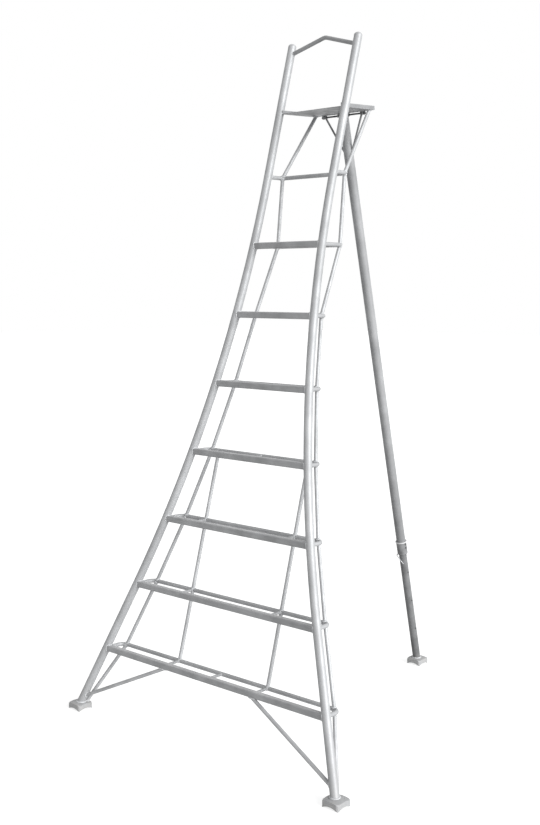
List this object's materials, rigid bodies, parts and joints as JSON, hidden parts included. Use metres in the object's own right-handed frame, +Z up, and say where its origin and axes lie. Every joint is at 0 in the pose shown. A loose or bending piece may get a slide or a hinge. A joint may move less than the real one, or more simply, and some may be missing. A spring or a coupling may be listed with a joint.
{
  "type": "orchard tripod ladder",
  "caption": "Bare aluminium orchard tripod ladder: bell-bottom stiles, looped treads, a small platform, a bent handrail and a hinged, telescoping rear leg on claw feet.",
  "frame": {"origin": "on the ground, midway between the front and rear feet", "axes": "+X to the climber's right, +Y from the climber toward the rear leg, +Z up"},
  "size_m": [1.5838, 1.659, 3.0056],
  "materials": {
    "tube": "bare extruded tube, dull satin",
    "sheet": "bare folded sheet, mill finish",
    "foot": "pressed plate, mill finish",
    "steel": "zinc plated"
  },
  "bodies": {
    "frame": {"stile_left": "tube", "stile_right": "tube", "stile_caps": "tube", "tread_bar_1": "tube", "tread_bar_2": "tube", "tread_bar_3": "tube", "tread_bar_4": "tube", "tread_bar_5": "tube", "tread_bar_6": "tube", "tread_bar_7": "tube", "tread_loop_1": "tube", "tread_loop_2": "tube", "tread_loop_3": "tube", "tread_loop_4": "tube", "tread_loop_5": "tube", "tread_loop_6": "tube", "tread_loop_7": "tube", "upper_rung": "tube", "tread_spacers": "tube", "platform": "sheet", "handrail": "tube", "side_brace_right_1": "tube", "side_brace_right_2": "tube", "side_brace_right_3": "tube", "side_brace_right_4": "tube", "side_brace_right_5": "tube", "side_brace_right_6": "tube", "side_brace_right_7": "tube", "side_brace_right_8": "tube", "side_brace_right_9": "tube", "side_brace_left_1": "tube", "side_brace_left_2": "tube", "side_brace_left_3": "tube", "side_brace_left_4": "tube", "side_brace_left_5": "tube", "side_brace_left_6": "tube", "side_brace_left_7": "tube", "side_brace_left_8": "tube", "side_brace_left_9": "tube", "inner_brace_right_1": "tube", "inner_brace_right_2": "tube", "inner_brace_right_3": "tube", "inner_brace_left_1": "tube", "inner_brace_left_2": "tube", "inner_brace_left_3": "tube", "front_brace_left": "tube", "front_brace_right": "tube", "foot_left": "foot", "foot_right": "foot", "hinge_lugs": "sheet", "hinge_rod": "steel"},
    "leg": {"leg_barrel": "tube", "leg_upper": "tube", "leg_stay_left": "tube", "leg_stay_right": "tube", "leg_collar": "tube", "collar_rivets": "steel"},
    "lower_leg": {"leg_lower": "tube", "foot_rear": "foot"},
    "pin": {"lock_pin": "steel"}
  },
  "joints": [
    {"name": "leg_fold", "type": "hinge", "parent": "frame", "child": "leg", "pos_m": [0, 0.14786, 2.67848], "axis": [1, 0, 0], "range_deg": [-28, 0]},
    {"name": "leg_extend", "type": "slide", "parent": "leg", "child": "lower_leg", "axis": [0, 0.2334, -0.9724], "range_m": [0, 0.3]},
    {"name": "lock_pin_pull", "type": "slide", "parent": "lower_leg", "child": "pin", "axis": [-1, 0, 0], "range_m": [0, 0.05]}
  ]
}
